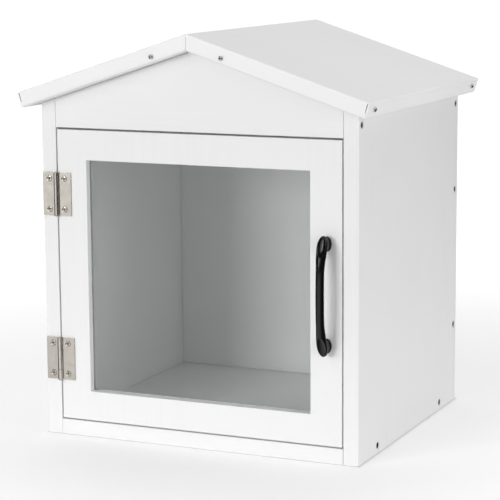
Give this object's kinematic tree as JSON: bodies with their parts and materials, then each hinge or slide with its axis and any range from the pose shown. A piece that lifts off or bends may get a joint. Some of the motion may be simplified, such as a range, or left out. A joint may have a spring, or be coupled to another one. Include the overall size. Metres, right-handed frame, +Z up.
{
  "type": "street book exchange box",
  "caption": "White house-shaped book exchange box: screwed boards, a glazed door on two butt hinges with a black bow handle, and a folded sheet cover on a pitched roof.",
  "frame": {"origin": "middle of the underside of the bottom panel", "axes": "+Z up, the door faces -Y, +X to the right seen from the front"},
  "size_m": [0.3854, 0.3477, 0.4231],
  "materials": {
    "white_painted_board": "white satin paint on boards, faint grain",
    "white_sheet": "smooth white coated sheet with rounded folds",
    "clear_pane": "clear acrylic sheet",
    "satin_nickel": "satin nickel plate",
    "black_gloss": "gloss black coating",
    "screw_steel": "zinc plated",
    "white_plastic": "moulded, satin",
    "magnet_steel": "plain plated steel"
  },
  "bodies": {
    "cabinet": {"left_side_panel": "white_painted_board", "right_side_panel": "white_painted_board", "bottom_panel": "white_painted_board", "back_panel": "white_painted_board", "front_gable_panel": "white_painted_board", "left_roof_board": "white_painted_board", "right_roof_board": "white_painted_board", "roof_cover": "white_sheet", "upper_frame_leaf": "satin_nickel", "upper_hinge_pin": "satin_nickel", "lower_frame_leaf": "satin_nickel", "lower_hinge_pin": "satin_nickel", "catch_housing": "white_plastic", "catch_magnet": "magnet_steel", "left_gable_screw": "screw_steel", "left_back_screw_1": "screw_steel", "left_back_screw_2": "screw_steel", "left_back_screw_3": "screw_steel", "left_bottom_screw_1": "screw_steel", "left_bottom_screw_2": "screw_steel", "right_gable_screw": "screw_steel", "right_back_screw_1": "screw_steel", "right_back_screw_2": "screw_steel", "right_back_screw_3": "screw_steel", "right_bottom_screw_1": "screw_steel", "right_bottom_screw_2": "screw_steel", "left_front_cover_screw": "screw_steel", "left_rear_cover_screw": "screw_steel", "left_eave_screw_1": "screw_steel", "left_eave_screw_2": "screw_steel", "right_front_cover_screw": "screw_steel", "right_rear_cover_screw": "screw_steel", "right_eave_screw_1": "screw_steel", "right_eave_screw_2": "screw_steel", "upper_frame_leaf_top_screw": "screw_steel", "upper_frame_leaf_low_screw": "screw_steel", "lower_frame_leaf_top_screw": "screw_steel", "lower_frame_leaf_low_screw": "screw_steel", "catch_top_screw": "screw_steel", "catch_low_screw": "screw_steel"},
    "door": {"door_frame": "white_painted_board", "window_pane": "clear_pane", "top_glazing_bead": "white_painted_board", "bottom_glazing_bead": "white_painted_board", "left_glazing_bead": "white_painted_board", "right_glazing_bead": "white_painted_board", "upper_door_leaf": "satin_nickel", "lower_door_leaf": "satin_nickel", "pull_handle": "black_gloss", "strike_plate": "magnet_steel", "upper_door_leaf_top_screw": "screw_steel", "upper_door_leaf_low_screw": "screw_steel", "lower_door_leaf_top_screw": "screw_steel", "lower_door_leaf_low_screw": "screw_steel", "handle_top_screw": "screw_steel", "handle_low_screw": "screw_steel", "strike_screw": "screw_steel"}
  },
  "joints": [
    {"name": "door_hinge", "type": "hinge", "parent": "cabinet", "child": "door", "pos_m": [-0.15825, -0.1553, 0.17], "axis": [0, 0, -1], "range_deg": [0, 180]}
  ]
}
